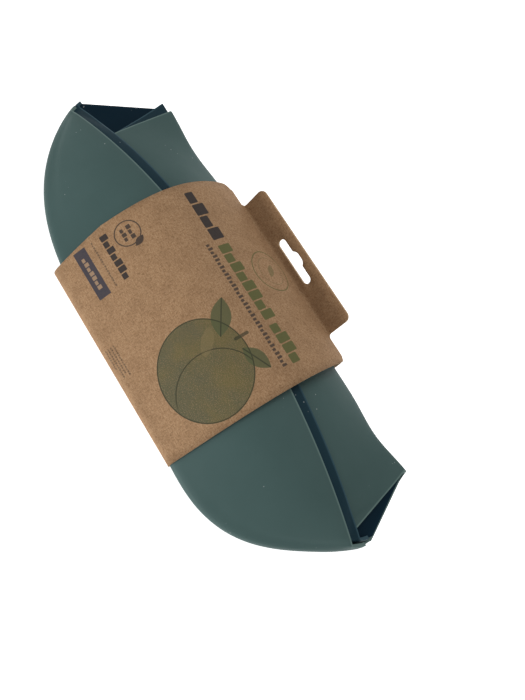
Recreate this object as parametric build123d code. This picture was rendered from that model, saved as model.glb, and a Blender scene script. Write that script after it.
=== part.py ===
"""Twin pack of silicone bibs: two one-piece bibs nested, folded and held by a card sleeve.

X runs along the folded pack, Y from the pockets' round bottom to the hang tab, Z up.
Each bib is folded once: its chest turns over the fold on the +Y side and tucks into its pocket.
The layers from the bottom are: card, outer bib, inner bib, straps, inner chest, outer chest,
inner pocket wall, outer pocket wall, card.
"""
from build123d import *
import math
import os

# ---- driving dimensions, millimetres ----
SHEET = 1.5             # silicone wall
NEST = 0.3              # clearance between sheets that lie on each other
CARD = 0.45             # sleeve board
CARD_GAP = 0.3          # clearance between the board and the silicone
STEP = SHEET + NEST     # from one sheet to the next

FLOOR_OUTER = CARD + CARD_GAP       # underside of the outer bib's back
CHEST_DEPTH = 4.0                   # outer chest's face below the outer pocket wall's face
CHEST_STEP = 2.1                    # and from the outer chest to the inner one
POCKET_TURN = 3.7                   # outer radius of the pocket's bottom edge
CHEST_TURN = 4.5                    # outer radius of the chest fold
RIM_MIDDLE = 30.5                   # height of the pocket rim at the middle
RIM_END = 8.4                       # and at the pocket's corners
CORNER_X = 120.0                    # half the bib's width
FOLD_X = 105.5                      # half the width at the chest fold
WAIST_Y = -50.35                    # the pocket's bottom edge at the middle

SLEEVE_X = 0.73                     # centre of the sleeve along the pack
SLEEVE_LENGTH = 100.75
SLEEVE_TURN = 4.6                   # radius of the sleeve's spine fold
SLEEVE_LEFT = -51.15
ARCH_TOP = (2.0, 31.5)              # crown of the front panel
CREASE = (37.0, 15.45)              # where the hang tab bends up from the front panel
SIDE_REACH = 40.1                   # outermost Y of the sleeve's side panel
SIDE_TURN = 5.45

TAB_LENGTH = 73.1
TAB_WIDTH = 13.76
TAB_RISE = 57.3                     # degrees above +Y
TAB_CORNER = 3.0
TAB_ROOT_CORNER = 2.2               # rounded corners next to the crease
CREASE_BEAD = 0.3
CREASE_GAP = 0.35                   # from the crease to the first board edge
GLUE = 0.1
GLUE_INSET = 1.0                    # glue stops short of the tab's edges
SLOT_FROM_CREASE = 6.53
SLOT_HALF = 10.03                   # half the distance between the slot's end arcs
SLOT_R = 2.1
SLOT_BUMP = 3.7                     # bump height above the slot's centre line
SLOT_BUMP_WIDTH = 8.0

SEAM = 0.12                         # clearance between two zones of one sheet
POCKET_INSET = 4.0                  # the pocket's ends stop this far short of its corners
STRAP_INNER = 36.0                  # each neck strap runs from here to STRAP_OUTER in X
STRAP_OUTER = 60.0
STRAP_TURN_Y = -26.0                # centre of the straps' hairpins
STRAP_DROP = 1.5                    # hairpin top below the chest's face
STRAP_EASE = 0.1                    # clearance between the straps and what they lie on
STRAP_TIP_Y = 28.0                  # free end of the outer bib's straps
STRAP_STAGGER = 14.0                # the inner bib's straps end this much earlier
STRAP_TIP_CORNER = 8.0
HOLE_COUNT = 4
HOLE_PITCH = 9.0
HOLE_R = 1.8
STUD_FROM_TIP = 7.0
STUD_STEM_R = 1.6
STUD_STEM = 1.7
STUD_CAP_R = 3.4
STUD_CAP = 1.4
NECK_CENTRE_Y = -58.0
NECK_R = 44.0
SPINE_END = 130                     # degrees round the spine where the front panel starts
FRONT_CORNERS = (5.5, 3.5)          # rounded corners of the front panel beside the tab
SPRING = 50                         # degrees past a turn's outermost point where a wall springs


class Bib:
    """One bib's place in the nest; level 0 is the outer bib and level 1 the inner one."""

    def __init__(self, name, level, left, right, mouth_left, mouth_right, middle):
        self.name = name
        self.level = level
        self.left = left
        self.right = right
        self.mouth_left = mouth_left
        self.mouth_right = mouth_right
        self.middle = middle
        self.floor = FLOOR_OUTER + level * STEP
        self.turn = POCKET_TURN - level * STEP
        self.mid_z = self.floor + self.turn

    def outline(self, x):
        """Y of the pocket's bottom edge at x."""
        reach = -self.left if x < 0 else self.right
        power, rounding = (3.4, 0.9) if x < 0 else (7.0, 1.4)
        mouth = self.mouth_left if x < 0 else self.mouth_right
        u = min(abs(x) / reach, 1.0)
        return mouth + (self.middle - mouth) * (1 - u**power) ** rounding

    def rim(self, x):
        """Y of the pocket's rim at x."""
        if self.level == 0:
            return 3.2 + 0.02 * x - 6.5 * (abs(x) / CORNER_X) ** 2.5
        return 8.0 - 9.5 * (abs(x + 4) / 121) ** 2.8

    def fold(self, x):
        """Outermost Y of the chest fold at x."""
        wave = 1.6 * math.sin(math.pi * x / 120)
        return 37.0 + 1.4 * (x / FOLD_X) ** 2 - wave - self.level * STEP


OUTER = Bib("outer_bib", 0, -122.5, 120.5, -4.0, -2.0, WAIST_Y)
INNER = Bib("inner_bib", 1, -122.9, 118.6, 0.0, 0.0, WAIST_Y + 2.2)


def rim_height(x):
    """Height of the outer bib's pocket rim."""
    u = min(abs(x) / CORNER_X, 1.0)
    return RIM_END + (RIM_MIDDLE - RIM_END) * (1 - u**2.4)


def pocket_arch(bib, x, y):
    """Height of the outer face of a bib's pocket wall."""
    spring_y = bib.outline(x) + bib.turn * (1 - math.cos(math.radians(SPRING)))
    spring_z = bib.mid_z + bib.turn * math.sin(math.radians(SPRING))
    crown_z = max(rim_height(x) - bib.level * STEP, spring_z + 0.3)
    crown_y = max(OUTER.rim(x), spring_y + 2)
    s = min(max((y - spring_y) / (crown_y - spring_y), 0), 1.3)
    return spring_z + (crown_z - spring_z) * math.sin(math.pi / 2 * s)


def under_arch(x, y, depth):
    """Height of a face that lies a depth below the outer pocket wall's outer face."""
    slope = (pocket_arch(OUTER, x, y + 0.5) - pocket_arch(OUTER, x, y - 0.5))
    return pocket_arch(OUTER, x, y) - depth * math.hypot(1, slope)


def pocket_profile(bib, x):
    """Outer face of a pocket from the back panel's edge round the bottom and up to the rim."""
    centre_y = bib.outline(x) + bib.turn
    points = []
    for degrees in (270, 240, 210, 180, 155, 130):
        a = math.radians(degrees)
        points.append((centre_y + bib.turn * math.cos(a), bib.mid_z + bib.turn * math.sin(a)))
    start = points[-1][0]
    for part in (0.15, 0.32, 0.5, 0.7, 0.85, 1.0):
        y = start + part * (max(bib.rim(x), start + 2.5) - start)
        points.append((y, pocket_arch(bib, x, y)))
    return points


def chest_profile(bib, x):
    """Outer face of the chest from the back panel's edge round the fold to its tucked end."""
    turn = CHEST_TURN - bib.level * STEP
    depth = CHEST_DEPTH + bib.level * CHEST_STEP
    fold = bib.fold(x)
    crown_y = OUTER.rim(x) + 3
    crown_z = under_arch(x, OUTER.rim(x), depth)
    points = []
    for degrees in (-90, -60, -30, 0, 25, SPRING):
        a = math.radians(degrees)
        points.append((fold - turn + turn * math.cos(a), bib.floor + turn + turn * math.sin(a)))
    spring_y, spring_z = points[-1]
    crown_z = max(crown_z, spring_z + 0.2)
    for part in (0.2, 0.4, 0.6, 0.8, 1.0):
        y = spring_y + part * (crown_y - spring_y)
        rise = math.sin(math.pi / 2 * part) ** 0.9
        points.append((y, spring_z + (crown_z - spring_z) * rise))
    tuck = min(STRAP_TURN_Y + 25 * (abs(x) / FOLD_X) ** 4, crown_y - 5)
    for part in (0.3, 0.65, 1.0):
        y = crown_y + part * (tuck - crown_y)
        points.append((y, min(under_arch(x, y, depth), crown_z)))
    return points


def strip(points, thickness, side, x, first_normal=None):
    """Thin closed section at x: the given face's points and the same points a thickness inside."""
    inner = []
    last = len(points) - 1
    for i, (y, z) in enumerate(points):
        y0, z0 = points[max(i - 1, 0)]
        y1, z1 = points[min(i + 1, last)]
        length = math.hypot(y1 - y0, z1 - z0)
        normal = (side * (z1 - z0) / length, -side * (y1 - y0) / length)
        if i == 0 and first_normal:
            normal = first_normal
        inner.append((y + thickness * normal[0], z + thickness * normal[1]))
    loop = [(x, y, z) for y, z in points + inner[::-1]]
    return Face(Wire(Polyline(*loop, close=True)))


def stations(low, high, count):
    """X positions from low to high, closer together towards both ends."""
    middle, half = (low + high) / 2, (high - low) / 2
    spread = [math.sin(math.pi / 2 * (2 * i / (count - 1) - 1)) for i in range(count)]
    return [middle + half * s for s in spread]


CHEST_STATIONS = stations(-110, 112, 13)


def pocket_stations(bib):
    """X positions of a pocket's sections."""
    return stations(bib.left + POCKET_INSET, bib.right - POCKET_INSET, 15)


def back_panel(bib, corner_shift):
    """Flat back of a bib, between the pocket's bottom edge and the chest fold."""
    bottom = [(x, bib.outline(x) + bib.turn + SEAM) for x in pocket_stations(bib)]
    left, right = -FOLD_X + corner_shift, FOLD_X + corner_shift
    turn = CHEST_TURN - bib.level * STEP
    inside = [x for x in reversed(CHEST_STATIONS) if left < x < right]
    top = [(x, bib.fold(x) - turn - SEAM) for x in (right, *inside, left)]
    left_corner = (bib.left, bib.outline(bib.left))
    right_corner = (bib.right, bib.outline(bib.right))
    face = Face(Wire(Polyline(*bottom, right_corner, *top, left_corner, close=True)))
    return extrude(Pos(0, 0, bib.floor) * face, SHEET, dir=(0, 0, 1))


def food_pocket(bib):
    """Pocket: round bottom edge and front wall up to the rim."""
    sections = [strip(pocket_profile(bib, x), SHEET, 1, x, (0, 1)) for x in pocket_stations(bib)]
    return loft(sections, ruled=True)


def chest_fold(bib, sides):
    """Chest: the fold on the +Y side, the roof and the part tucked into the pocket."""
    sections = [strip(chest_profile(bib, x), SHEET, -1, x, (0, 1)) for x in CHEST_STATIONS]
    shape = loft(sections, ruled=True)
    plan = Pos(0, 0, -5) * Face(Wire(Polyline(*sides, close=True)))
    shape = shape & extrude(plan, 60, dir=(0, 0, 1))
    neck = Pos(0, NECK_CENTRE_Y, 20) * Cylinder(NECK_R, 60)
    return shape - neck


def strap_floor(bib):
    """Underside of a bib's straps, on top of both backs and the straps below."""
    return FLOOR_OUTER + (2 + bib.level) * STEP + STRAP_EASE


def strap_tip(bib):
    """Y of a bib's strap ends."""
    return STRAP_TIP_Y - bib.level * STRAP_STAGGER


def neck_strap(bib, side):
    """Neck strap: a hairpin at the chest's tucked end, then a flat run back over the bib's back."""
    low, tip = strap_floor(bib), strap_tip(bib)
    roof = under_arch(-STRAP_OUTER, STRAP_TURN_Y, CHEST_DEPTH + bib.level * CHEST_STEP)
    top = roof - STRAP_DROP
    turn = (top - low) / 2
    y, z = STRAP_TURN_Y - STRAP_EASE, low + turn
    x = STRAP_INNER if side > 0 else -STRAP_OUTER
    inside = turn - SHEET
    edge = [
        ThreePointArc((x, y, top), (x, y - turn, z), (x, y, low)),
        Line((x, y, low), (x, tip, low)),
        Line((x, tip, low), (x, tip, low + SHEET)),
        Line((x, tip, low + SHEET), (x, y, low + SHEET)),
        ThreePointArc((x, y, low + SHEET), (x, y - inside, z), (x, y, top - SHEET)),
        Line((x, y, top - SHEET), (x, y, top)),
    ]
    strap = extrude(Face(Wire(edge)), STRAP_OUTER - STRAP_INNER, dir=(1, 0, 0))
    return fillet(strap.edges().filter_by(Axis.Z).sort_by(Axis.Y)[-2:], STRAP_TIP_CORNER)


def holed_strap(bib, side):
    """Neck strap with the row of holes that the stud snaps into."""
    strap = neck_strap(bib, side)
    for i in range(HOLE_COUNT):
        hole_y = strap_tip(bib) - STUD_FROM_TIP - i * HOLE_PITCH
        middle = side * (STRAP_INNER + STRAP_OUTER) / 2
        strap -= Pos(middle, hole_y, strap_floor(bib)) * Cylinder(HOLE_R, 3 * SHEET)
    return strap


def closure_stud(bib, side):
    """Mushroom stud near the end of a strap, on its upper face."""
    base = (Align.CENTER, Align.CENTER, Align.MIN)
    stem = Cylinder(STUD_STEM_R, STUD_STEM, align=base)
    cap = Cylinder(STUD_CAP_R, STUD_CAP, align=base)
    cap = fillet(cap.edges().sort_by(Axis.Z)[-1], 0.6 * STUD_CAP)
    middle = side * (STRAP_INNER + STRAP_OUTER) / 2
    place = Pos(middle, strap_tip(bib) - STUD_FROM_TIP, strap_floor(bib) + SHEET)
    return place * (stem + Pos(0, 0, STUD_STEM) * cap)


def sleeve_start():
    """X of the sleeve's low end."""
    return SLEEVE_X - SLEEVE_LENGTH / 2


def sleeve_prism(face):
    """Extrude a section that lies at the sleeve's low end to its other end."""
    return extrude(face, SLEEVE_LENGTH, dir=(1, 0, 0))


def on_circle(centre, radius, degrees):
    """Point of a circle in the section at the sleeve's low end."""
    a = math.radians(degrees)
    return (sleeve_start(), centre[0] + radius * math.cos(a), centre[1] + radius * math.sin(a))


def sleeve_back_panel():
    """Flat back of the sleeve: the face that the pack rests on."""
    low_y, high_y = SLEEVE_LEFT + SLEEVE_TURN, SIDE_REACH - SIDE_TURN
    size = (SLEEVE_LENGTH, high_y - low_y, CARD)
    return Pos(SLEEVE_X, (low_y + high_y) / 2, CARD / 2) * Box(*size)


def sleeve_spine():
    """Rounded fold along the pockets' bottom edge, from the back panel to the front panel."""
    centre = (SLEEVE_LEFT + SLEEVE_TURN, SLEEVE_TURN)
    rings = []
    for radius in (SLEEVE_TURN, SLEEVE_TURN - CARD):
        rings.append([on_circle(centre, radius, d) for d in (270, 200, SPINE_END)])
    outer, inner = rings
    edge = [
        ThreePointArc(*outer),
        Line(outer[2], inner[2]),
        ThreePointArc(*inner),
        Line(inner[0], outer[0]),
    ]
    return sleeve_prism(Face(Wire(edge)))


def sleeve_front_panel():
    """Arched front of the sleeve, from the spine over the pack to the hang tab's crease."""
    centre = (SLEEVE_LEFT + SLEEVE_TURN, SLEEVE_TURN)
    _, start_y, start_z = on_circle(centre, SLEEVE_TURN, SPINE_END)
    points = []
    for part in (0, 0.15, 0.32, 0.5, 0.7, 0.85):
        rise = (ARCH_TOP[1] - start_z) * math.sin(math.pi / 2 * part)
        points.append((start_y + part * (ARCH_TOP[0] - start_y), start_z + rise))
    fall, run = ARCH_TOP[1] - CREASE[1], CREASE[0] - ARCH_TOP[0]
    end = 1 - CREASE_GAP * math.cos(math.atan(2 * fall / run)) / run
    for part in (0, 0.25, 0.5, 0.75, end):
        points.append((ARCH_TOP[0] + part * run, ARCH_TOP[1] - fall * part**2))
    a = math.radians(SPINE_END)
    section = strip(points, CARD, 1, sleeve_start(), (-math.cos(a), -math.sin(a)))
    panel = sleeve_prism(section)
    for inward, radius in ((1, FRONT_CORNERS[0]), (-1, FRONT_CORNERS[1])):
        end_x = SLEEVE_X - inward * SLEEVE_LENGTH / 2
        square = Box(radius, radius, 4 * radius)
        quarter = Pos(inward * radius / 2, -radius / 2, 0) * Cylinder(radius, 4 * radius)
        place = Pos(end_x + inward * radius / 2, CREASE[0] - radius / 2, CREASE[1])
        panel -= place * (square - quarter)
    return panel


def sleeve_side_panel():
    """Side of the sleeve past the chest fold, from the back panel up to the crease."""
    centre = (SIDE_REACH - SIDE_TURN, SIDE_TURN)
    points = [on_circle(centre, SIDE_TURN, d)[1:] for d in (-90, -60, -30, 0)]
    points += [(SIDE_REACH - 0.3, SIDE_TURN + 4.2), (CREASE[0] + 1.5, CREASE[1] - 1.9)]
    return sleeve_prism(strip(points, CARD, -1, sleeve_start(), (0, 1)))


def crease_bead():
    """Scored fold line between the front panel and the hang tab."""
    turned = Rot(0, 90, 0) * Cylinder(CREASE_BEAD, TAB_LENGTH)
    return Pos(SLEEVE_X, *CREASE) * turned


def tab_layer(front, back, inset=0.0):
    """One layer of the hang tab, between two depths behind its front face."""
    depth = TAB_WIDTH - CREASE_GAP - 2 * inset
    blank = Pos(0, CREASE_GAP + inset + depth / 2) * Rectangle(TAB_LENGTH - 2 * inset, depth)
    blank = fillet(blank.vertices().sort_by(Axis.Y)[-2:], TAB_CORNER)
    blank = fillet(blank.vertices().sort_by(Axis.Y)[:2], TAB_ROOT_CORNER)
    slot = Pos(0, SLOT_FROM_CREASE) * SlotCenterToCenter(2 * SLOT_HALF, 2 * SLOT_R)
    bump = Pos(0, SLOT_FROM_CREASE + SLOT_BUMP / 2) * Rectangle(SLOT_BUMP_WIDTH, SLOT_BUMP)
    bump = fillet(bump.vertices().sort_by(Axis.Y)[-2:], 0.5 * SLOT_BUMP)
    layer = extrude(blank - slot - bump, front - back)
    rise = math.radians(TAB_RISE)
    plane = Plane(
        origin=(SLEEVE_X, *CREASE),
        x_dir=(1, 0, 0),
        z_dir=(0, -math.sin(rise), math.cos(rise)),
    )
    return plane * Pos(0, 0, -front) * layer


def bib_nodes(bib, chest_sides, corner_shift):
    """All the zones of one bib by node name."""
    nodes = {
        "back_panel": back_panel(bib, corner_shift),
        "food_pocket": food_pocket(bib),
        "chest_fold": chest_fold(bib, chest_sides),
        "neck_strap_left": holed_strap(bib, -1),
        "neck_strap_right": neck_strap(bib, 1),
        "closure_stud": closure_stud(bib, 1),
    }
    return {f"{bib.name}_{zone}": shape for zone, shape in nodes.items()}


def build():
    """Every node of the pack, with the origin under the middle of its box."""
    outer_sides = [
        (-105.5, 41), (-98.3, 2.3), (-91.5, -32), (96, -32), (107, -14), (111, 3), (105.5, 41),
    ]
    inner_sides = [
        (-109.2, 41), (-101.7, 20), (-94, 2), (-86, -32), (90, -32), (100, -14), (105, 3), (101.5, 41),
    ]
    nodes = bib_nodes(OUTER, outer_sides, 0.0)
    nodes |= bib_nodes(INNER, inner_sides, -3.5)
    nodes["sleeve_back_panel"] = sleeve_back_panel()
    nodes["sleeve_spine"] = sleeve_spine()
    nodes["sleeve_front_panel"] = sleeve_front_panel()
    nodes["sleeve_side_panel"] = sleeve_side_panel()
    nodes["hang_tab_crease"] = crease_bead()
    nodes["hang_tab_front_ply"] = tab_layer(CARD, 0)
    nodes["hang_tab_glue"] = tab_layer(CARD + GLUE, CARD, GLUE_INSET)
    nodes["hang_tab_back_ply"] = tab_layer(2 * CARD + GLUE, CARD + GLUE)
    box = Compound(children=[Compound(shape.solids()) for shape in nodes.values()]).bounding_box()
    centre = Pos(-(box.min.X + box.max.X) / 2, -(box.min.Y + box.max.Y) / 2, -box.min.Z)
    print("pack box", box.size, "origin moved by", centre.position)
    return {name: centre * shape for name, shape in nodes.items()}


os.makedirs("parts", exist_ok=True)
for name, shape in build().items():
    export_step(shape, f"parts/{name}.step")
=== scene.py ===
"""Looks of a twin pack of silicone bibs in a kraft sleeve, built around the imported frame.

Shapes are worked out in millimetres on the pack's own axes and placed in metres:
X along the pack, Y from the pockets' round bottom to the hang tab, Z up.
"""
import math

import bmesh
import bpy
from mathutils import Matrix, Vector


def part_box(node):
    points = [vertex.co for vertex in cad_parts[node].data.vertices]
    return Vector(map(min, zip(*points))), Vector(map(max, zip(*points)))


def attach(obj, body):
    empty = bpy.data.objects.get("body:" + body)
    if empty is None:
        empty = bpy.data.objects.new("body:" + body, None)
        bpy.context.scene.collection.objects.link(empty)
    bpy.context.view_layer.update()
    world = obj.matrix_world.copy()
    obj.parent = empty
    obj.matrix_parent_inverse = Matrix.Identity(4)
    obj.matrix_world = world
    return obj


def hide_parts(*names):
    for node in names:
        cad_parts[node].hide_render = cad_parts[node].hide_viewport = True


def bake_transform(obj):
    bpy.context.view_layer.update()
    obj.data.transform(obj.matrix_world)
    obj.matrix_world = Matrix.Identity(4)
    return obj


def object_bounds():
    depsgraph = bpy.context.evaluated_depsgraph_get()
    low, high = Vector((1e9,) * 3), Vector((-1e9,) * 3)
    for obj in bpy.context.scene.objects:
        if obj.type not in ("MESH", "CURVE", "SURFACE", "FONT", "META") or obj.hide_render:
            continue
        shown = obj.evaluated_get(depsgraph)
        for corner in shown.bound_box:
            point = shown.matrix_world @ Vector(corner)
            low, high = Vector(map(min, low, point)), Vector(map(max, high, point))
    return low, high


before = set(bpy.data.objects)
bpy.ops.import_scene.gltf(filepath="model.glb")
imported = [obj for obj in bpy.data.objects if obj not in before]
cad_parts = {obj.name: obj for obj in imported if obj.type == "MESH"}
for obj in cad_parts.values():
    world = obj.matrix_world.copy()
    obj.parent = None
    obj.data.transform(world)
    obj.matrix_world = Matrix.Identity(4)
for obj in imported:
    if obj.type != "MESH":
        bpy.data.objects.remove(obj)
cad_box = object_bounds()

# ---- the bibs, millimetres; pairs are for the left and the right end ----
SHEET = 1.5
SHEET_EDGE = 0.4
NEST = 0.3
CARD = 0.45
CARD_GAP = 0.3
STEP = SHEET + NEST
FLOOR_OUTER = CARD + CARD_GAP
CORNER_X = 120.0
SPRING = math.radians(50)

# the pocket: its rim, its round bottom edge and the inner bib's band past the outer rim
RIM_Y = 3.7
RIM_DROP = (12.0, 8.3)
RIM_DROP_POWER = 1.7
RIM_MIDDLE = 30.5
RIM_END = 8.4
RIM_HEIGHT_POWER = 2.4
BAND = 5.2
BAND_LEFT = 0.8
WAIST_Y = -50.35
WAIST_STEP = 2.2
BELLY = (0.2, 2.6)
OUTLINE_POWER = (3.4, 6.4)
OUTLINE_ROUNDING = (0.9, 1.6)
CORNER_ROUND = (2.0, 9.0)
POCKET_TURN = 3.7
RIDGE_INSET = 5.2
RIDGE_WIDTH = 1.5
RIDGE_DEPTH = 0.22
SWELL = 0.35
SWELL_LENGTHS = (17.0, 13.0)

# the chest: its fold, and its end with the neckline tucked into the pocket
FOLD_X = 105.5
FOLD_Y = 37.0
FOLD_FLARE = 1.4
FOLD_WAVE = 1.6
FOLD_DIPS = ((2.6, -77, 20), (2.4, 86, 15))
CHEST_DEPTH = 4.0
CHEST_STEP = 2.1
CHEST_TURN = 4.5
CROWN_PAST_RIM = 3
ROOF_POWER = 0.9
TUCK_Y = -26.0
TUCK_RISE = 25
NECK_Y = -58.0
NECK_R = 44.0

# how finely a bib's sheet is cut: columns, and rows by zone from the chest's end to the rim
COLUMNS = 110
EVEN_SHARE = 0.35
ZONES = (("tuck", 12), ("roof", 25), ("fold", 12), ("back", 12), ("turn", 13), ("wall", 28))
ROWS = sum(count for name, count in ZONES)

# ---- the sleeve and its hang tab, millimetres ----
SLEEVE_X = 0.73
SLEEVE_LENGTH = 100.75
SLEEVE_TURN = 4.6
SLEEVE_LEFT = -51.15
SPINE_TOP = (-49.51, 8.12)
SPINE_TOP_ANGLE = 130
SPINE_LEAN = (1.8, 1.0)
LEAN_Y = (12, 50)
ARCH_TOP = (2.0, 31.5)
CREASE = (37.0, 15.45)
VALLEY_R = 1.6
VALLEY_FADE = (0.3, 3.5)
SIDE_REACH = 40.1
SIDE_TURN = 5.45
SIDE_INSET = 1.0
SIDE_PULLS = (3.0, 5.0)
SIDE_CORNERS = (2.5, 1.2)
FRONT_CORNERS = (5.5, 3.5)
BACK_EDGE_CUT = 3.9
BACK_EDGE_CUT_RUN = (72, 98)
PLY_FOOT = 1.5
WING_DROP = 0.5
TAB_LENGTH = 73.1
TAB_WIDTH = 13.76
TAB_RISE = math.radians(57.3)
TAB_CORNER = 3.0
ROOT_CORNER = 2.2
GLUE = 0.1
TAB_BEHIND = 2 * CARD + GLUE
SLOT_FROM_CREASE = 6.53
SLOT_HALF = 10.03
SLOT_R = 2.1
SLOT_END_ROUND = 0.98
SLOT_BUMP = 3.7
SLOT_BUMP_HALF = 4.0
SLOT_BUMP_SLOPE = 1.2
SLOT_BUMP_ROUNDS = (0.6, 1.4)
BEND_START = (1.5, 1.3)
BEND_END = (1.5, 1.2)
CARD_ROW = 0.9
CARD_COLUMNS = 20
CORNER_SEGMENTS = 8

# ---- where the pack's own axes lie in the frame ----
back_low, back_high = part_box("sleeve_back_panel")
PACK_X = (back_low[0] + back_high[0]) * 500 - SLEEVE_X
PACK_Y = back_low[1] * 1000 - (SLEEVE_LEFT + SLEEVE_TURN)

# ---- the camera, millimetres on the pack's axes ----
EYE = (74.62, -98.97, 248.58)
EYE_RIGHT = Vector((0.5286, 0.8081, 0.2599))
EYE_FORWARD = Vector((-0.1756, 0.4036, -0.8979))
EYE_LENS = 30.857
EYE_NEAR = 0.01

# ---- the studio, metres and watts ----
SKY = 0.5
SOFT_BOXES = (
    ("key", (-0.16, 0.42, 0.74), 0.4, 2.7),
    ("low", (0.0, -0.8, 0.12), 0.2, 3.8),
)
TABLE_HALF = 6.0
TABLE_GAP = 0.0002
TABLE_GLOW = 0.8


def placed(x, y, z):
    """A point of the pack, in the frame's metres."""
    return Vector(((x + PACK_X) / 1000, (y + PACK_Y) / 1000, z / 1000))


def mix(a, b, part):
    return a + (b - a) * part


def clamp(value, low, high):
    return min(max(value, low), high)


def ease(value, low, high):
    """0 below low and 1 above high, with a smooth turn between."""
    part = clamp((value - low) / (high - low), 0, 1)
    return part * part * (3 - 2 * part)


# ------------------------------------------------------------- shader maths and finishes
class Field:
    """A number that varies over a finish; sums on it add the finish's Math nodes."""

    def __init__(self, finish, socket):
        self.finish = finish
        self.socket = socket

    def math(self, operation, *others):
        return self.finish.node(
            "ShaderNodeMath", {"operation": operation}, dict(enumerate((self, *others)))
        )

    def __add__(self, other):
        return self.math("ADD", other)

    __radd__ = __add__

    def __sub__(self, other):
        return self.math("SUBTRACT", other)

    def __rsub__(self, other):
        return self.math("MULTIPLY", -1.0) + other

    def __mul__(self, other):
        return self.math("MULTIPLY", other)

    __rmul__ = __mul__

    def __truediv__(self, other):
        return self.math("DIVIDE", other)

    def size(self):
        return self.math("ABSOLUTE")

    def root(self):
        return self.math("SQRT")

    def fraction(self):
        return self.math("FRACT")

    def at_least(self, other):
        return self.math("MAXIMUM", other)

    def at_most(self, other):
        return self.math("MINIMUM", other)

    def between(self, low, high):
        """0 at low and 1 at high, with a smooth turn between."""
        return self.finish.node(
            "ShaderNodeMapRange",
            {"interpolation_type": "SMOOTHSTEP"},
            {"Value": self, "From Min": low, "From Max": high},
        )


class Finish:
    """A material in the making: its nodes, and the surface shader that they feed."""

    def __init__(self, name, **numbers):
        self.material = bpy.data.materials.new(name)
        self.material.use_nodes = True
        self.tree = self.material.node_tree
        self.shader = self.tree.nodes["Principled BSDF"]
        for socket, number in numbers.items():
            self.shader.inputs[socket.replace("_", " ")].default_value = number

    def node(self, kind, settings=None, sockets=None, output=0):
        """Any node: its settings are set first, then the values or links of its sockets."""
        node = self.tree.nodes.new(kind)
        for name, value in (settings or {}).items():
            setattr(node, name, value)
        for name, value in (sockets or {}).items():
            self.set(node.inputs[name], value)
        return Field(self, node.outputs[output])

    def set(self, socket, value):
        if isinstance(value, Field):
            self.tree.links.new(value.socket, socket)
        else:
            socket.default_value = value

    def feed(self, socket, value):
        """Give the surface shader's socket a varying value."""
        self.set(self.shader.inputs[socket], value)

    def place(self):
        """The frame's own metres."""
        return self.node("ShaderNodeTexCoord", output=3)

    def print_place(self):
        """U and V on a flat blank in millimetres, and both as one vector."""
        spot = self.node("ShaderNodeUVMap", {"uv_map": BLANK})
        across = self.node("ShaderNodeSeparateXYZ", sockets={0: spot})
        return across, Field(self, across.socket.node.outputs[1]), spot

    def stretched(self, spot, scale):
        return self.node(
            "ShaderNodeVectorMath", {"operation": "MULTIPLY"}, {0: spot, 1: scale}
        )

    def noise(self, spot, scale, detail=3.0, roughness=0.5):
        return self.node(
            "ShaderNodeTexNoise",
            sockets={"Vector": spot, "Scale": scale, "Detail": detail, "Roughness": roughness},
        )

    def colour(self, share, a, b):
        """Colour a where share is 0 and b where it is 1."""
        return self.node(
            "ShaderNodeMix", {"data_type": "RGBA"}, {0: share, 6: a, 7: b}, output=2
        )

    def bump(self, height, strength, depth):
        """Relief of the surface; depth in millimetres."""
        relief = self.node(
            "ShaderNodeBump",
            sockets={"Strength": strength, "Distance": depth / 1000, "Height": height},
        )
        self.feed("Normal", relief)


def shade(red, green, blue):
    """A display colour, 0 to 255, as the linear colour that a socket takes."""
    channels = []
    for channel in (red, green, blue):
        c = channel / 255
        channels.append(c / 12.92 if c <= 0.04045 else ((c + 0.055) / 1.055) ** 2.4)
    return (*channels, 1.0)


# ------------------------------------------------------------------ colours and print
BLANK = "blank"
FROM_EDGE = "from_edge"
GREEN, GREEN_PALE = shade(58, 80, 78), shade(66, 88, 86)
# Painted highlight: paler green for the light caught along the outer bib's edges.
GREEN_PAINTED_HIGHLIGHT, GREEN_PAINTED_HIGHLIGHT_PALE = shade(90, 112, 108), shade(98, 120, 116)
NAVY, NAVY_PALE = shade(16, 42, 52), shade(22, 49, 59)
# Painted highlight: paler navy for the light caught along the inner bib's edges.
NAVY_PAINTED_HIGHLIGHT, NAVY_PAINTED_HIGHLIGHT_PALE = shade(46, 72, 82), shade(54, 80, 90)
# Painted shade: near-black navy for the inner bib's inner face, standing in for the shade inside the
# nested pockets.
NAVY_PAINTED_SHADE, NAVY_PAINTED_SHADE_PALE = shade(3, 27, 40), shade(8, 34, 47)
DUST = shade(190, 196, 196)
KRAFT, KRAFT_PALE, KRAFT_DARK = shade(150, 117, 84), shade(176, 144, 110), shade(102, 72, 44)
INSIDE, INSIDE_PALE, INSIDE_DARK = shade(166, 134, 102), shade(182, 150, 118), shade(138, 106, 76)
CUT, CUT_PALE, CUT_DARK = shade(186, 156, 122), shade(204, 176, 144), shade(150, 118, 86)
GLUE_PALE, GLUE_DARK = shade(226, 216, 190), shade(204, 190, 156)
FLOOR_WHITE, FLOOR_PALE = (0.95, 0.95, 0.95, 1), (0.93, 0.93, 0.93, 1)
FRUIT_INK, FRUIT_DEEP, LEAF_INK = shade(88, 84, 48), shade(70, 76, 54), shade(78, 82, 52)
SHINE_INK, LINE_INK, DARK_INK = shade(150, 128, 84), shade(44, 46, 30), shade(34, 33, 36)
OLIVE_INK, LABEL_INK = shade(82, 86, 46), shade(46, 48, 60)

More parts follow.
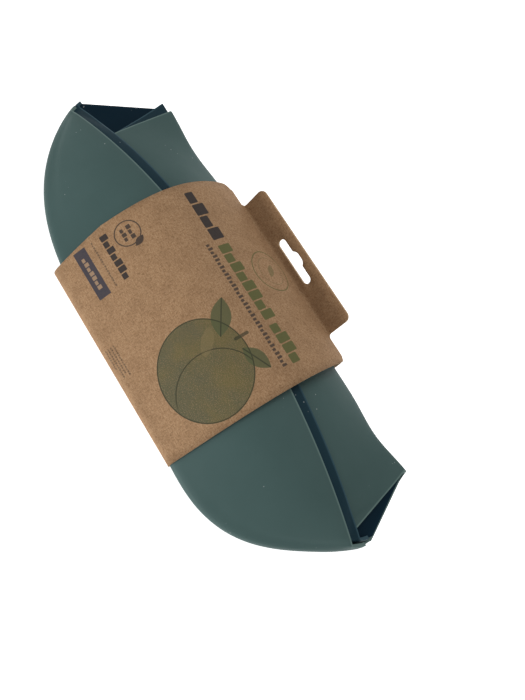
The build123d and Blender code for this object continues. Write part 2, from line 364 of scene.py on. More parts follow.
# The print on the front's flat blank, millimetres: u along the sleeve, v from the tab's crease.
INK_EDGE = 0.07
RIB_HALF = 0.28
FRUIT, FRUIT_TURN, FRUIT_SIZE, FRUIT_LINE = (26.5, 66.5), 8.0, (43.0, 39.0), 1.0
LEFT_LEAF = ((11.0, 50.0), 32.0, 17.0, 8.5)
RIGHT_LEAF = ((33.0, 46.5), -25.0, 14.0, 7.0)
STALK = ((22.0, 47.0), (0.7, 3.4), 0.6)
SHINE = ((17.0, 60.0), 40.0, 12.0, 5.0)
SEAM, SEAM_FADE = ((38.0, 66.0), 18.5, 0.5), 9.0
SEAL, SEAL_RINGS, SEAL_LEAF = (0.3, 13.9), ((10.8, 0.5), (7.4, 0.3)), (40.0, 8.0, 3.6)
BADGE, BADGE_RING, BADGE_LEAF = (-40.8, 64.3), (5.8, 0.5), ((-35.3, 61.6), 60.0, 5.5, 3.0)
LABEL, LABEL_HALF, LABEL_CORNER = (-34.9, 85.3), (11.8, 2.9), 0.3

# Rows of tiles where the words were: ends, middle, height, pitch and gap.
TITLE = ((-46.0, -20.0), 31.4, 6.0, 6.5, 0.7)
OLIVE_TITLE = (((-17.6, 21.2), 31.4, 6.0, 4.85, 0.6), ((23.3, 42.6), 31.4, 6.0, 4.8, 0.6))
SUBTITLE = ((-20.0, 42.0), 38.0, 2.2, 1.9, 0.7)
COUNT = ((-46.5, -24.0), 73.5, 3.4, 3.2, 0.5)
COUNT_NOTE = ((-46.5, -24.0), 79.0, 0.8, 1.2, 0.3)
BADGE_ROWS = [
    ((BADGE[0] - half, BADGE[0] + half), BADGE[1] + offset, 2.0, 2.2, 0.4)
    for offset, half in ((-1.5, 3.6), (1.5, 3.2))
]
LABEL_ROW = ((LABEL[0] - 8.0, LABEL[0] + 8.0), LABEL[1], 2.0, 2.3, 0.5)
SMALL_PRINT = [
    ((-4.0, end), 93.3 + 1.4 * line, 0.7, 1.1, 0.3)
    for line, end in enumerate((10.6, 9.0, 10.2, 5.5))
]
TILE_SHORT = 0.7
TILE_CORNER = 0.1
ROW_CORNER = 0.2
GOLDEN = 0.618


def silicone(name, base, pale, edge, gloss=0.25):
    """Matte moulded silicone: faint mottling, a fine skin, stray dust, and a painted highlight that
    pales the face towards the edge colour along the sheet's free edges.
    """
    finish = Finish(
        name, IOR=1.43, Specular_IOR_Level=gloss, Sheen_Weight=gloss * 0.1, Sheen_Roughness=0.4
    )
    spot = finish.place()
    cloud = finish.noise(spot, scale=28.0, detail=4.0)
    skin = finish.noise(spot, scale=2600.0, detail=2.0)
    patch = finish.noise(spot, scale=160.0)
    body = finish.colour(cloud.between(0.3, 0.7) * 0.55, base, pale)
    inwards = finish.node("ShaderNodeAttribute", {"attribute_name": FROM_EDGE}, output=2)
    # Painted highlight: within about a millimetre of a free edge the face is paled towards the edge
    # colour.
    painted_edge_highlight = (1 - inwards.between(0.25, 0.95)) * (0.75 + patch * 0.5)
    body = finish.colour(painted_edge_highlight.at_most(1.0), body, edge)
    dust_cells = finish.node("ShaderNodeTexVoronoi", sockets={"Vector": spot, "Scale": 330.0})
    chance = finish.noise(spot, scale=61.0, detail=0.0)
    dust = (1 - dust_cells.between(0.05, 0.11)) * chance.between(0.62, 0.68)
    finish.feed("Base Color", finish.colour(dust * 0.5, body, DUST))
    finish.feed("Roughness", 0.53 + patch * 0.14 + dust * 0.3)
    finish.bump(skin * 0.5 + patch * 0.5 + dust, strength=0.22, depth=0.06)
    return finish.material


def kraft_base(finish, spot, base, pale, dark):
    """Colour and relief of brown kraft board: long fibres, flecks and cloudy pulp."""
    fibre = finish.noise(finish.stretched(spot, (0.5, 1.5, 1.0)), 1.3, 5.0, 0.65)
    cross = finish.noise(finish.stretched(spot, (1.6, 0.6, 1.0)), 1.1, 4.0, 0.65)
    grain = finish.noise(spot, scale=2.6, detail=2.0)
    pulp = finish.noise(spot, scale=0.13)
    fleck = finish.noise(finish.stretched(spot, (1.0, 1.8, 1.0)), scale=1.2, detail=1.0)
    body = finish.colour(fibre.between(0.42, 0.62) * 0.62, base, pale)
    for layer, low, high, strength in (
        (cross, 0.48, 0.66, 0.5), (grain, 0.5, 0.68, 0.35), (pulp, 0.35, 0.7, 0.22),
        (fleck, 0.68, 0.74, 0.55),
    ):
        body = finish.colour(layer.between(low, high) * strength, body, dark)
    return body, fibre * 0.6 + cross * 0.4


def tile(u, v, centre, half, corner):
    """1 inside a rounded tile of print and 0 outside."""
    du = ((u - centre[0]).size() - (half[0] - corner)).at_least(0.0)
    dv = ((v - centre[1]).size() - (half[1] - corner)).at_least(0.0)
    outside = (du * du + dv * dv).root()
    return (corner - outside).between(-INK_EDGE, INK_EDGE)


def disc(u, v, centre, radius):
    du, dv = u - centre[0], v - centre[1]
    return (radius - (du * du + dv * dv).root()).between(-INK_EDGE, INK_EDGE)


def ring(u, v, centre, radius, line):
    return disc(u, v, centre, radius) - disc(u, v, centre, radius - line)


def turned(u, v, centre, turn):
    """The place in a motif's own axes, turned by an angle in degrees."""
    du, dv = u - centre[0], v - centre[1]
    c, s = math.cos(math.radians(turn)), math.sin(math.radians(turn))
    return du * c + dv * s, dv * c - du * s


def leaf(u, v, centre, turn, length, width):
    """A pointed leaf and its midrib."""
    along, across = turned(u, v, centre, turn)
    run = along / (length / 2)
    half = (1 - run * run) * (width / 2)
    blade = (half - across.size()).between(-INK_EDGE, INK_EDGE)
    rib = (RIB_HALF - across.size()).between(-INK_EDGE, INK_EDGE) * blade
    return blade, rib


def oval(u, v, centre, turn, length, width):
    along, across = turned(u, v, centre, turn)
    p, q = along / (length / 2), across / (width / 2)
    return ((1 - (p * p + q * q).root()) * (width / 2)).between(-INK_EDGE, INK_EDGE)


def row_of_tiles(u, v, ends, middle, height, pitch, gap):
    """A row of blank tiles that keeps the rhythm of a printed word without any letters."""
    start, end = ends
    count = max(round((end - start) / pitch), 1)
    step = (end - start) / count
    place = (u - start) / step
    cell = place.fraction() * step - step / 2
    inside = tile(u, v, ((start + end) / 2, middle), ((end - start) / 2, height / 2), ROW_CORNER)
    draw = (place - place.fraction()) * GOLDEN + start
    short = 0.5 * TILE_SHORT * height
    half = draw.fraction().between(0.35, 0.4) * (0.5 * height - short) + short
    foot = middle + height / 2
    return tile(cell, v, (0.0, foot - half), ((step - gap) / 2, half), TILE_CORNER * height) * inside


def fruit_print(finish, u, v, spot, body):
    """A round fruit with two leaves, in flat inks that are a little worn."""
    wear = finish.noise(spot, scale=3.2, detail=2.0).between(0.25, 0.55)
    length, width = FRUIT_SIZE
    fruit = oval(u, v, FRUIT, FRUIT_TURN, length, width)
    left, left_rib = leaf(u, v, *LEFT_LEAF)
    right, right_rib = leaf(u, v, *RIGHT_LEAF)
    stalk = tile(u, v, *STALK)
    seam = ring(u, v, *SEAM) * (SEAM[0][0] - u).between(0.0, SEAM_FADE) * fruit
    outline = fruit - oval(u, v, FRUIT, FRUIT_TURN, length - FRUIT_LINE, width - FRUIT_LINE)
    deep = (finish.noise(spot, scale=0.09, detail=2.0) + (v - 60.0) * 0.012).between(0.3, 0.8)
    ink = finish.colour(deep, FRUIT_INK, FRUIT_DEEP)
    body = finish.colour(fruit * (0.8 * wear + 0.15), body, ink)
    body = finish.colour(left.at_least(right) * 0.9, body, LEAF_INK)
    lines = left_rib.at_least(right_rib).at_least(stalk).at_least(seam).at_least(outline)
    body = finish.colour(lines * 0.75, body, LINE_INK)
    return finish.colour(oval(u, v, *SHINE) * 0.16 * fruit, body, SHINE_INK)


def kraft_print_finish():
    """The front's kraft with its generic print: a fruit, tiles for words and round badges."""
    finish = Finish("kraft_printed", Roughness=0.82, IOR=1.4)
    u, v, spot = finish.print_place()
    body, relief = kraft_base(finish, spot, KRAFT, KRAFT_PALE, KRAFT_DARK)
    body = fruit_print(finish, u, v, spot, body)
    words = row_of_tiles(u, v, *TITLE).at_least(row_of_tiles(u, v, *COUNT))
    words = words.at_least(row_of_tiles(u, v, *SUBTITLE) * 0.85)
    for row in (COUNT_NOTE, *SMALL_PRINT):
        words = words.at_least(row_of_tiles(u, v, *row) * 0.6)
    body = finish.colour(words * 0.93, body, DARK_INK)
    olive = row_of_tiles(u, v, *OLIVE_TITLE[0]).at_least(row_of_tiles(u, v, *OLIVE_TITLE[1]))
    body = finish.colour(olive * 0.92, body, OLIVE_INK)
    seal = ring(u, v, SEAL, *SEAL_RINGS[0]).at_least(ring(u, v, SEAL, *SEAL_RINGS[1]) * 0.6)
    seal = seal.at_least(leaf(u, v, SEAL, *SEAL_LEAF)[0] * 0.6)
    body = finish.colour(seal * 0.8, body, OLIVE_INK)
    badge = ring(u, v, BADGE, *BADGE_RING).at_least(leaf(u, v, *BADGE_LEAF)[0])
    for row in BADGE_ROWS:
        badge = badge.at_least(row_of_tiles(u, v, *row))
    body = finish.colour(badge * 0.85, body, DARK_INK)
    body = finish.colour(tile(u, v, LABEL, LABEL_HALF, LABEL_CORNER) * 0.92, body, LABEL_INK)
    body = finish.colour(row_of_tiles(u, v, *LABEL_ROW) * 0.6, body, KRAFT_PALE)
    finish.feed("Base Color", body)
    finish.bump(relief, strength=0.35, depth=0.12)
    return finish.material


def kraft_finish(name, base, pale, dark):
    """Plain kraft board."""
    finish = Finish(name, Roughness=0.86, IOR=1.4)
    spot = finish.print_place()[2]
    body, relief = kraft_base(finish, spot, base, pale, dark)
    finish.feed("Base Color", body)
    finish.bump(relief, strength=0.4, depth=0.14)
    return finish.material


def glue_finish():
    """Dried glue between the tab's plies."""
    finish = Finish("dried_glue", Roughness=0.35, IOR=1.48)
    ripple = finish.noise(finish.place(), scale=700.0)
    finish.feed("Base Color", finish.colour(ripple.between(0.3, 0.7), GLUE_PALE, GLUE_DARK))
    finish.bump(ripple, strength=0.3, depth=0.1)
    return finish.material


def floor_finish():
    """Plain white table, bright enough that no shadow shows."""
    finish = Finish("white_table", Roughness=0.9, Emission_Strength=TABLE_GLOW)
    cloud = finish.noise(finish.place(), scale=3.0)
    finish.feed("Base Color", finish.colour(cloud, FLOOR_WHITE, FLOOR_PALE))
    finish.shader.inputs["Emission Color"].default_value = (1, 1, 1, 1)
    return finish.material


# ---------------------------------------------------------------------------- the bibs
class Bib:
    """One bib's place in the nest; level 0 is the outer bib and level 1 the inner one."""

    def __init__(self, level, left, right, mouths, sides):
        self.level = level
        self.reaches = (-left, right)
        self.mouths = mouths
        self.waist = WAIST_Y + WAIST_STEP * level
        self.sides = sides
        self.floor = FLOOR_OUTER + level * STEP
        self.turn = POCKET_TURN - level * STEP
        self.chest_turn = CHEST_TURN - level * STEP
        self.depth = CHEST_DEPTH + level * CHEST_STEP

    def outline(self, x):
        """Y of the pocket's round bottom edge at x."""
        side = 0 if x < 0 else 1
        u = min(abs(x) / self.reaches[side], 1.0)
        mouth = self.mouths[side]
        waist = self.waist - BELLY[side] * ease(abs(x), 25, 75)
        corner = CORNER_ROUND[side]
        past = clamp((abs(x) - self.reaches[side]) / corner + 1, 0, 1)
        lift = corner * (1 - math.sqrt(1 - past**2))
        bulge = (1 - u ** OUTLINE_POWER[side]) ** OUTLINE_ROUNDING[side]
        return mouth + (waist - mouth) * bulge + lift

    def rim(self, x):
        """Y of the pocket's rim at x."""
        drop = RIM_DROP[0 if x < 0 else 1]
        outer = RIM_Y - drop * (abs(x) / CORNER_X) ** RIM_DROP_POWER
        return outer + self.level * (BAND + BAND_LEFT * ease(-x, -20, 90))

    def fold(self, x):
        """Y of the chest fold's outermost line at x."""
        wave = FOLD_WAVE * math.sin(math.pi * x / CORNER_X)
        dips = sum(deep * math.exp(-(((x - at) / wide) ** 2)) for deep, at, wide in FOLD_DIPS)
        return FOLD_Y + FOLD_FLARE * (x / FOLD_X) ** 2 - wave - dips - self.level * STEP

    def pocket_spring(self, x):
        """Where the pocket's wall springs from its round bottom edge."""
        y = self.outline(x) + self.turn * (1 - math.cos(SPRING))
        return y, self.floor + self.turn * (1 + math.sin(SPRING))

    def chest_spring(self, x):
        """Where the chest's roof springs from its fold."""
        y = self.fold(x) - self.chest_turn * (1 - math.cos(SPRING))
        return y, self.floor + self.chest_turn * (1 + math.sin(SPRING))

    def arch(self, x, y):
        """Height of the outer face of the pocket's wall."""
        spring_y, spring_z = self.pocket_spring(x)
        crown_z = max(rim_height(x) - self.level * STEP, spring_z + 0.3)
        crown_y = max(OUTER.rim(x), spring_y + 2)
        part = clamp((y - spring_y) / (crown_y - spring_y), 0, 1.3)
        return spring_z + (crown_z - spring_z) * math.sin(math.pi / 2 * part)

    def tuck_y(self, x):
        """Y of the chest's tucked end, with the neckline cut into its middle."""
        end = min(TUCK_Y + TUCK_RISE * (abs(x) / FOLD_X) ** 4, OUTER.rim(x) - 2)
        if abs(x) < NECK_R:
            end = max(end, NECK_Y + math.sqrt(NECK_R**2 - x**2))
        return end


def rim_height(x):
    """Height of the outer bib's pocket rim."""
    u = min(abs(x) / CORNER_X, 1.0)
    return RIM_END + (RIM_MIDDLE - RIM_END) * (1 - u**RIM_HEIGHT_POWER)


def under_arch(x, y, depth):
    """Height of a face that lies a depth below the outer face of the outer pocket's wall."""
    slope = OUTER.arch(x, y + 0.5) - OUTER.arch(x, y - 0.5)
    return OUTER.arch(x, y) - depth * math.hypot(1, slope)


# X of a bib's left and right edge where its sheet changes course: at the chest's tucked end
# and crown, over and under the fold, and under and over the pocket's round bottom edge.
OUTER = Bib(
    0, -122.5, 121.6, (-5.6, -6.0),
    ((-91.5, -95.8, -102.4, -102.4, -121.6, -121.6), (90.0, 113.5, 105.5, 109.0, 121.8, 121.0)),
)
INNER = Bib(
    1, -124.9, 120.0, (-1.5, -3.4),
    ((-86.0, -96.5, -109.0, -109.0, -124.4, -124.4), (85.0, 110.0, 104.5, 107.6, 120.2, 119.8)),
)


def zone_at(row):
    """Zone of a row, and how far through the zone the row is."""
    for name, count in ZONES:
        if row <= count:
            return name, row / count
        row -= count
    return ZONES[-1][0], 1.0


def side_edges(bib, zone, part):
    """X of the sheet's left and right edge in a row."""
    if zone == "wall":
        return [edge[-1] for edge in bib.sides]
    corner = ("tuck", "roof", "fold", "back", "turn").index(zone)
    return [mix(edge[corner], edge[corner + 1], part) for edge in bib.sides]


def bib_point(bib, x, zone, part, backs):
    """Point of the bib's outer face; backs are the Y of the back's two ends."""
    if zone == "tuck":
        y = mix(bib.tuck_y(x), OUTER.rim(x) + CROWN_PAST_RIM, part)
        return y, min(under_arch(x, y, bib.depth), under_arch(x, OUTER.rim(x), bib.depth))
    if zone == "roof":
        spring_y, spring_z = bib.chest_spring(x)
        crown_z = max(under_arch(x, OUTER.rim(x), bib.depth), spring_z + 0.2)
        rise = math.cos(math.pi / 2 * part) ** ROOF_POWER if part < 1 else 0
        return mix(OUTER.rim(x) + CROWN_PAST_RIM, spring_y, part), mix(spring_z, crown_z, rise)
    if zone == "fold":
        turn = bib.chest_turn
        a = mix(SPRING, -math.pi / 2, part)
        return bib.fold(x) + turn * (math.cos(a) - 1), bib.floor + turn * (1 + math.sin(a))
    if zone == "back":
        return mix(*backs, part), bib.floor
    if zone == "turn":
        a = mix(1.5 * math.pi, math.pi - SPRING, part)
        middle = (bib.outline(x) + bib.turn, bib.floor + bib.turn)
        return middle[0] + bib.turn * math.cos(a), middle[1] + bib.turn * math.sin(a)
    spring_y, spring_z = bib.pocket_spring(x)
    y = mix(spring_y, max(bib.rim(x), spring_y + 0.4), part)
    inset = y - bib.outline(x) - RIDGE_INSET
    ridge = RIDGE_DEPTH * math.exp(-((inset / RIDGE_WIDTH) ** 2)) * ease(abs(x), 30, 100)
    along, across = SWELL_LENGTHS
    swell = SWELL * math.sin(x / along + 0.7) * math.sin(y / across) * ease(part, 0.1, 0.5)
    return y, bib.arch(x, y) - ridge + swell * (1 - ease(abs(x), 80, 115))


def bib_sheet(name, bib, finishes):
    """A whole bib as one moulded sheet, folded as it lies in the pack."""
    bm = bmesh.new()
    bmesh.ops.create_grid(bm, x_segments=COLUMNS, y_segments=ROWS, size=1.0)
    from_edge = bm.verts.layers.float.new(FROM_EDGE)
    for vert in bm.verts:
        s = (vert.co.x + 1) / 2
        s = mix((1 - math.cos(math.pi * s)) / 2, s, EVEN_SHARE)
        zone, part = zone_at(round((vert.co.y + 1) / 2 * ROWS))
        x = mix(*side_edges(bib, zone, part), s)
        fold_x = mix(*side_edges(bib, "back", 0), s)
        turn_x = mix(*side_edges(bib, "turn", 0), s)
        backs = (bib.fold(fold_x) - bib.chest_turn, bib.outline(turn_x) + bib.turn)
        y, z = bib_point(bib, x, zone, part, backs)
        left, right = side_edges(bib, zone, part)
        to_rim = bib.rim(x) - y if zone == "wall" else NECK_R
        vert[from_edge] = min(x - left, right - x, max(to_rim, 0))
        vert.co = placed(x, y, z)
    return walled(name, bm, SHEET, finishes, SHEET_EDGE)


def walled(name, bm, thickness, finishes, edge_round):
    """A sheet's outer face given its thickness inwards, and its edges rounded."""
    mesh = bpy.data.meshes.new(name)
    bm.to_mesh(mesh)
    bm.free()
    mesh.shade_smooth()
    piece = bpy.data.objects.new(name, mesh)
    bpy.context.scene.collection.objects.link(piece)
    for finish in finishes:
        mesh.materials.append(finish)
    wall = piece.modifiers.new("wall", "SOLIDIFY")
    wall.thickness = thickness / 1000
    wall.offset = -1
    wall.material_offset = 1
    wall.material_offset_rim = 2
    if edge_round:
        edge = piece.modifiers.new("edge", "BEVEL")
        edge.width = edge_round / 1000
        edge.segments = 3
        edge.limit_method = "ANGLE"
        edge.angle_limit = math.radians(60)
    return piece


# -------------------------------------------------------------------------- the sleeve
class Way:
    """A card's run through the fold plane, followed by distance from the tab's crease."""

    def __init__(self, points, start):
        self.points = [Vector(point) for point in points]
        self.start = start
        self.steps = [(b - a).length for a, b in zip(self.points, self.points[1:])]

    def at(self, distance):
        """Y and Z at a distance along the card, carried on straight past both ends."""
        left = distance - self.start
        for a, b, step in zip(self.points, self.points[1:], self.steps):
            if left <= step or b is self.points[-1]:
                return a.lerp(b, left / step)
            left -= step

    def length(self):
        return sum(self.steps)


def arc(centre, radius, start, end, steps):
    """Points along an arc in the fold plane, angles in degrees."""
    angles = [math.radians(mix(start, end, i / steps)) for i in range(steps + 1)]
    return [(centre[0] + radius * math.cos(a), centre[1] + radius * math.sin(a)) for a in angles]


def front_height(y):
    """Height of the front panel's printed face."""
    if y >= ARCH_TOP[0]:
        drop = ARCH_TOP[1] - CREASE[1]
        return ARCH_TOP[1] - drop * ((y - ARCH_TOP[0]) / (CREASE[0] - ARCH_TOP[0])) ** 2
    part = (y - SPINE_TOP[0]) / (ARCH_TOP[0] - SPINE_TOP[0])
    return mix(SPINE_TOP[1], ARCH_TOP[1], math.sin(math.pi / 2 * part))


def front_way():
    """From the crease over the front, round the spine and along the back."""
    spine = (SLEEVE_LEFT + SLEEVE_TURN, SLEEVE_TURN)
    steps = 180
    ys = [mix(CREASE[0], SPINE_TOP[0], i / steps) for i in range(steps + 1)]
    points = [(y, front_height(y)) for y in ys]
    points += arc(spine, SLEEVE_TURN, SPINE_TOP_ANGLE, 270, 24)[1:]
    points += [(SIDE_REACH - SIDE_TURN, 0.0)]
    return Way(points, 0.0)


def tab_point(distance, depth):
    """A point up the tab from the crease, at a depth behind its front face."""
    c, s = math.cos(TAB_RISE), math.sin(TAB_RISE)
    return Vector((CREASE[0] + distance * c + depth * s, CREASE[1] + distance * s - depth * c))


def side_way():
    """From the foot of the tab's back ply down the side panel to the back's edge."""
    ends = (tab_point(PLY_FOOT, TAB_BEHIND), Vector((SIDE_REACH, SIDE_TURN)))
    above, below = SIDE_PULLS
    pulls = (tab_point(-above, TAB_BEHIND), Vector((SIDE_REACH, SIDE_TURN + below)))
    steps = 20
    points = []
    for i in range(steps):
        t = i / steps
        a, b = ends[0].lerp(pulls[0], t), pulls[0].lerp(pulls[1], t)
        c = pulls[1].lerp(ends[1], t)
        points.append(a.lerp(b, t).lerp(b.lerp(c, t), t))
    points += arc((SIDE_REACH - SIDE_TURN, SIDE_TURN), SIDE_TURN, 0, -90, 20)
    return Way(points, -PLY_FOOT)


def blank_outline(bm, corners):
    """A closed outline; each corner is u, v and how far from it its rounding starts."""
    verts = [bm.verts.new((u, v, 0)) for u, v, reach in corners]
    bm.faces.new(verts)
    for vert, (u, v, reach) in zip(verts, corners):
        if reach:
            bmesh.ops.bevel(
                bm, geom=[vert], offset=reach, segments=CORNER_SEGMENTS, profile=0.5,
                affect="VERTICES", material=-1,
            )


def slot_outline(bm):
    """The hang slot: a long hole with a round bump away from the crease."""
    end, bump, top_half = SLOT_HALF + SLOT_R, SLOT_BUMP_HALF, SLOT_BUMP_HALF - SLOT_BUMP_SLOPE
    near, far = SLOT_R - SLOT_FROM_CREASE, -SLOT_R - SLOT_FROM_CREASE
    top, end_round = -SLOT_FROM_CREASE - SLOT_BUMP, SLOT_R * SLOT_END_ROUND
    foot_round, top_round = SLOT_BUMP_ROUNDS
    corners = (
        (-end, near, end_round), (end, near, end_round), (end, far, end_round),
        (bump, far, foot_round), (top_half, top, top_round), (-top_half, top, top_round),
        (-bump, far, foot_round), (-end, far, end_round),
    )
    blank_outline(bm, corners)


def card_blank(corners, low, high):
    """The flat blank with its slot, cut into rows so that it can bend."""
    bm = bmesh.new()
    blank_outline(bm, corners)
    slot_outline(bm)
    bmesh.ops.delete(bm, geom=bm.faces[:], context="FACES_ONLY")
    bmesh.ops.triangle_fill(bm, edges=bm.edges[:], use_beauty=True, normal=(0, 0, 1))
    rows = round((high - low) / CARD_ROW)
    for row in range(1, rows):
        cut_blank(bm, (0, mix(low, high, row / rows), 0), (0, 1, 0))
    for column in range(1, CARD_COLUMNS):
        u = (column - CARD_COLUMNS // 2) * SLEEVE_LENGTH / CARD_COLUMNS
        cut_blank(bm, (u, 0, 0), (1, 0, 0))
    return bm


def cut_blank(bm, point, normal):
    geometry = bm.verts[:] + bm.edges[:] + bm.faces[:]
    bmesh.ops.bisect_plane(bm, geom=geometry, dist=1e-5, plane_co=point, plane_no=normal)


def bent_card(name, bm, bend, finishes, way_up):
    """The blank folded up, keeping its flat place as its print's place; way_up is 1 or -1."""
    layer = bm.loops.layers.uv.new(BLANK)
    bm.normal_update()
    for face in bm.faces:
        if face.normal.z * way_up < 0:
            face.normal_flip()
        for loop in face.loops:
            loop[layer].uv = loop.vert.co.xy
    for vert in bm.verts:
        u, v = vert.co.x, vert.co.y
        y, z = bend(u, v)
        vert.co = placed(SLEEVE_X + u, y - spine_lean(u) * ease(-y, *LEAN_Y), z)
    return walled(name, bm, CARD, finishes, 0)


def spine_lean(u):
    """How far the loose spine stands out past the pockets at u."""
    return mix(*SPINE_LEAN, (u + SLEEVE_LENGTH / 2) / SLEEVE_LENGTH)


def front_bend(way):
    """How the front piece's blank bends: tab, valley at the crease, front, spine and back.

    The crease is a soft valley; it fades out past the tab's two ends, where the wings end freely.
    """
    front_slope = 2 * (ARCH_TOP[1] - CREASE[1]) / (CREASE[0] - ARCH_TOP[0])
    half_angle = (math.pi - (TAB_RISE + math.atan(front_slope))) / 2
    reach = VALLEY_R / math.tan(half_angle)
    fade = [TAB_LENGTH / 2 + past for past in VALLEY_FADE]

    def bend(u, v):
        straight = way.at(v) if v > 0 else tab_point(-v, 0.0)
        if abs(v) >= reach:
            return straight
        front, tab = way.at(reach), tab_point(reach, 0.0)
        corner = Vector(CREASE)
        part = (reach - v) / (2 * reach)
        soft = front.lerp(corner, part).lerp(corner.lerp(tab, part), part)
        return straight.lerp(soft, 1 - ease(abs(u), *fade))

    return bend


def sleeve_front():
    """Back, spine, printed front and the tab's front ply as one piece of card."""
    way = front_way()
    half, tab, end = SLEEVE_LENGTH / 2, TAB_LENGTH / 2, way.length()
    cut, (cut_start, cut_end) = BACK_EDGE_CUT - half, BACK_EDGE_CUT_RUN
    corners = (
        (-tab, -TAB_WIDTH, TAB_CORNER), (tab, -TAB_WIDTH, TAB_CORNER), (tab, 0, ROOT_CORNER),
        (half, 0, FRONT_CORNERS[1]), (half, end, 0), (cut, end, 0), (cut, cut_end, 0),
        (-half, cut_start, 0), (-half, 0, FRONT_CORNERS[0]), (-tab, 0, ROOT_CORNER),
    )
    bm = card_blank(corners, -TAB_WIDTH, end)
    return bent_card("sleeve_card_front", bm, front_bend(way), FRONT_FINISHES, -1)


def sleeve_side():
    """The side panel and the tab's back ply as one piece of card."""
    way = side_way()
    half, tab, end = SLEEVE_LENGTH / 2 - SIDE_INSET, TAB_LENGTH / 2, way.length() - PLY_FOOT
    wing, root = SIDE_CORNERS
    corners = (
        (-tab, -TAB_WIDTH, TAB_CORNER), (tab, -TAB_WIDTH, TAB_CORNER), (tab, WING_DROP, root),
        (half, WING_DROP, wing), (half, end, 0), (-half, end, 0), (-half, WING_DROP, wing),
        (-tab, WING_DROP, root),
    )
    bm = card_blank(corners, -TAB_WIDTH, end)

    def bend(u, v):
        return way.at(v) if v > -PLY_FOOT else tab_point(-v, TAB_BEHIND)

    return bent_card("sleeve_card_side", bm, bend, SIDE_FINISHES, 1)


# ---------------------------------------------------------------------- put together
GREEN_FACE = silicone("green_silicone", GREEN, GREEN_PALE, GREEN_PAINTED_HIGHLIGHT)
# Painted highlight: the sheets' cut edge faces take a paler copy of the silicone in the edge
# colours.
GREEN_RIM_PAINTED_HIGHLIGHT = silicone("green_silicone_edge_painted_highlight", GREEN_PAINTED_HIGHLIGHT, GREEN_PAINTED_HIGHLIGHT_PALE, GREEN_PAINTED_HIGHLIGHT)
NAVY_FACE = silicone("navy_silicone", NAVY, NAVY_PALE, NAVY_PAINTED_HIGHLIGHT, 0.15)
NAVY_RIM_PAINTED_HIGHLIGHT = silicone("navy_silicone_edge_painted_highlight", NAVY_PAINTED_HIGHLIGHT, NAVY_PAINTED_HIGHLIGHT_PALE, NAVY_PAINTED_HIGHLIGHT)
# Painted shade: the inner bib's inner face is darkened to stand in for the shade inside the pockets.
NAVY_INSIDE_PAINTED_SHADE = silicone("navy_silicone_inside_painted_shade", NAVY_PAINTED_SHADE, NAVY_PAINTED_SHADE_PALE, NAVY_PAINTED_SHADE_PALE, 0.08)
PLAIN_INSIDE = kraft_finish("kraft_inside", INSIDE, INSIDE_PALE, INSIDE_DARK)
CUT_CARD = kraft_finish("kraft_cut_edge", CUT, CUT_PALE, CUT_DARK)
PLAIN_KRAFT = kraft_finish("kraft_plain", KRAFT, KRAFT_PALE, KRAFT_DARK)
FRONT_FINISHES = (kraft_print_finish(), PLAIN_INSIDE, CUT_CARD)
SIDE_FINISHES = (PLAIN_KRAFT, PLAIN_INSIDE, CUT_CARD)


def repaint(node, finish):
    """A carried-over CAD node gets its finish; its mesh stays as it is."""
    for material_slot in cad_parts[node].material_slots:
        material_slot.material = finish


def bibs():
    for name, bib, finishes in (
        # Each sheet's third finish, on its cut edge faces, is a painted highlight.
        ("outer_bib", OUTER, (GREEN_FACE, GREEN_FACE, GREEN_RIM_PAINTED_HIGHLIGHT)),
        # The inner bib's second finish, on its inner face, is painted shade.
        ("inner_bib", INNER, (NAVY_FACE, NAVY_INSIDE_PAINTED_SHADE, NAVY_RIM_PAINTED_HIGHLIGHT)),
    ):
        piece = bib_sheet(f"{name}_sheet", bib, finishes)
        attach(piece, "bib_bundle")
        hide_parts(f"{name}_back_panel", f"{name}_food_pocket", f"{name}_chest_fold")
        for part in ("neck_strap_left", "neck_strap_right", "closure_stud"):
            repaint(f"{name}_{part}", finishes[0])


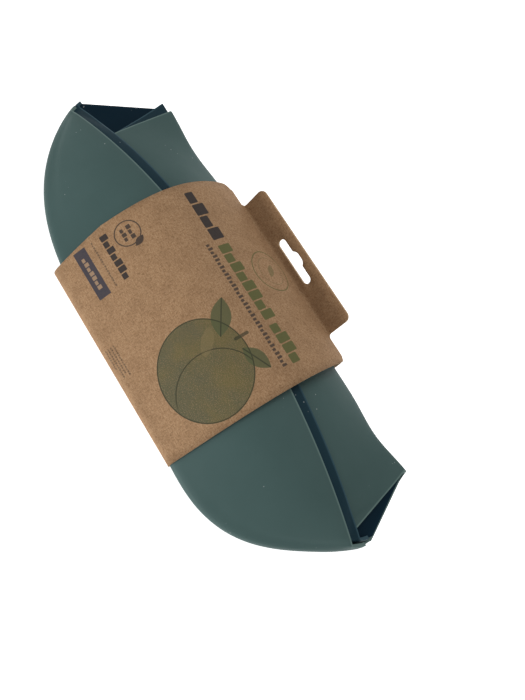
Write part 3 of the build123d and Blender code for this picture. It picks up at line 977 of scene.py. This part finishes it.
def sleeve():
    front = sleeve_front()
    side = sleeve_side()
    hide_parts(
        "sleeve_back_panel", "sleeve_spine", "sleeve_front_panel",
        "hang_tab_front_ply", "hang_tab_crease",
    )
    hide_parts("sleeve_side_panel", "hang_tab_back_ply")
    start_y = CREASE[0] - BEND_START[0]
    start, end = (start_y, front_height(start_y)), tab_point(BEND_END[0], 0.0)
    placed(0, *start)
    placed(0, *end)
    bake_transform(front)
    start, end = tab_point(-BEND_START[1], TAB_BEHIND), tab_point(BEND_END[1], TAB_BEHIND)
    placed(0, *start)
    placed(0, *end)
    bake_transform(side)
    repaint("hang_tab_glue", glue_finish())


def table_top():
    bm = bmesh.new()
    bmesh.ops.create_grid(bm, x_segments=2, y_segments=2, size=TABLE_HALF)
    mesh = bpy.data.meshes.new("table_top")
    bm.to_mesh(mesh)
    bm.free()
    mesh.materials.append(floor_finish())
    top = bpy.data.objects.new("table_top", mesh)
    top.location.z = cad_box[0][2] - TABLE_GAP
    bpy.context.scene.collection.objects.link(top)


def soft_light(name, place, size, power):
    """A square soft box that faces the pack."""
    light = bpy.data.lights.new(name, "AREA")
    light.size = size
    light.energy = power
    lamp = bpy.data.objects.new(name, light)
    lamp.location = place
    lamp.rotation_euler = (Vector((0, 0, 0)) - Vector(place)).to_track_quat("-Z", "Y").to_euler()
    bpy.context.scene.collection.objects.link(lamp)


def studio():
    world = bpy.data.worlds.new("studio")
    world.use_nodes = True
    sky = world.node_tree.nodes["Background"]
    sky.inputs["Color"].default_value = (1, 1, 1, 1)
    sky.inputs["Strength"].default_value = SKY
    scene = bpy.context.scene
    scene.world = world
    scene.view_settings.view_transform = "Standard"
    for name, place, size, power in SOFT_BOXES:
        soft_light(name, place, size, power)


def camera():
    """The eye above the pocket's side, near the pack's right-hand end."""
    lens = bpy.data.cameras.new("eye")
    lens.lens = EYE_LENS
    lens.clip_start = EYE_NEAR
    eye = bpy.data.objects.new("eye", lens)
    down = EYE_FORWARD.cross(EYE_RIGHT)
    turn = Matrix((EYE_RIGHT, -down, -EYE_FORWARD)).transposed().to_4x4()
    eye.matrix_world = Matrix.Translation(placed(*EYE)) @ turn
    bpy.context.scene.collection.objects.link(eye)
    bpy.context.scene.camera = eye


camera()
studio()
table_top()
bibs()
sleeve()
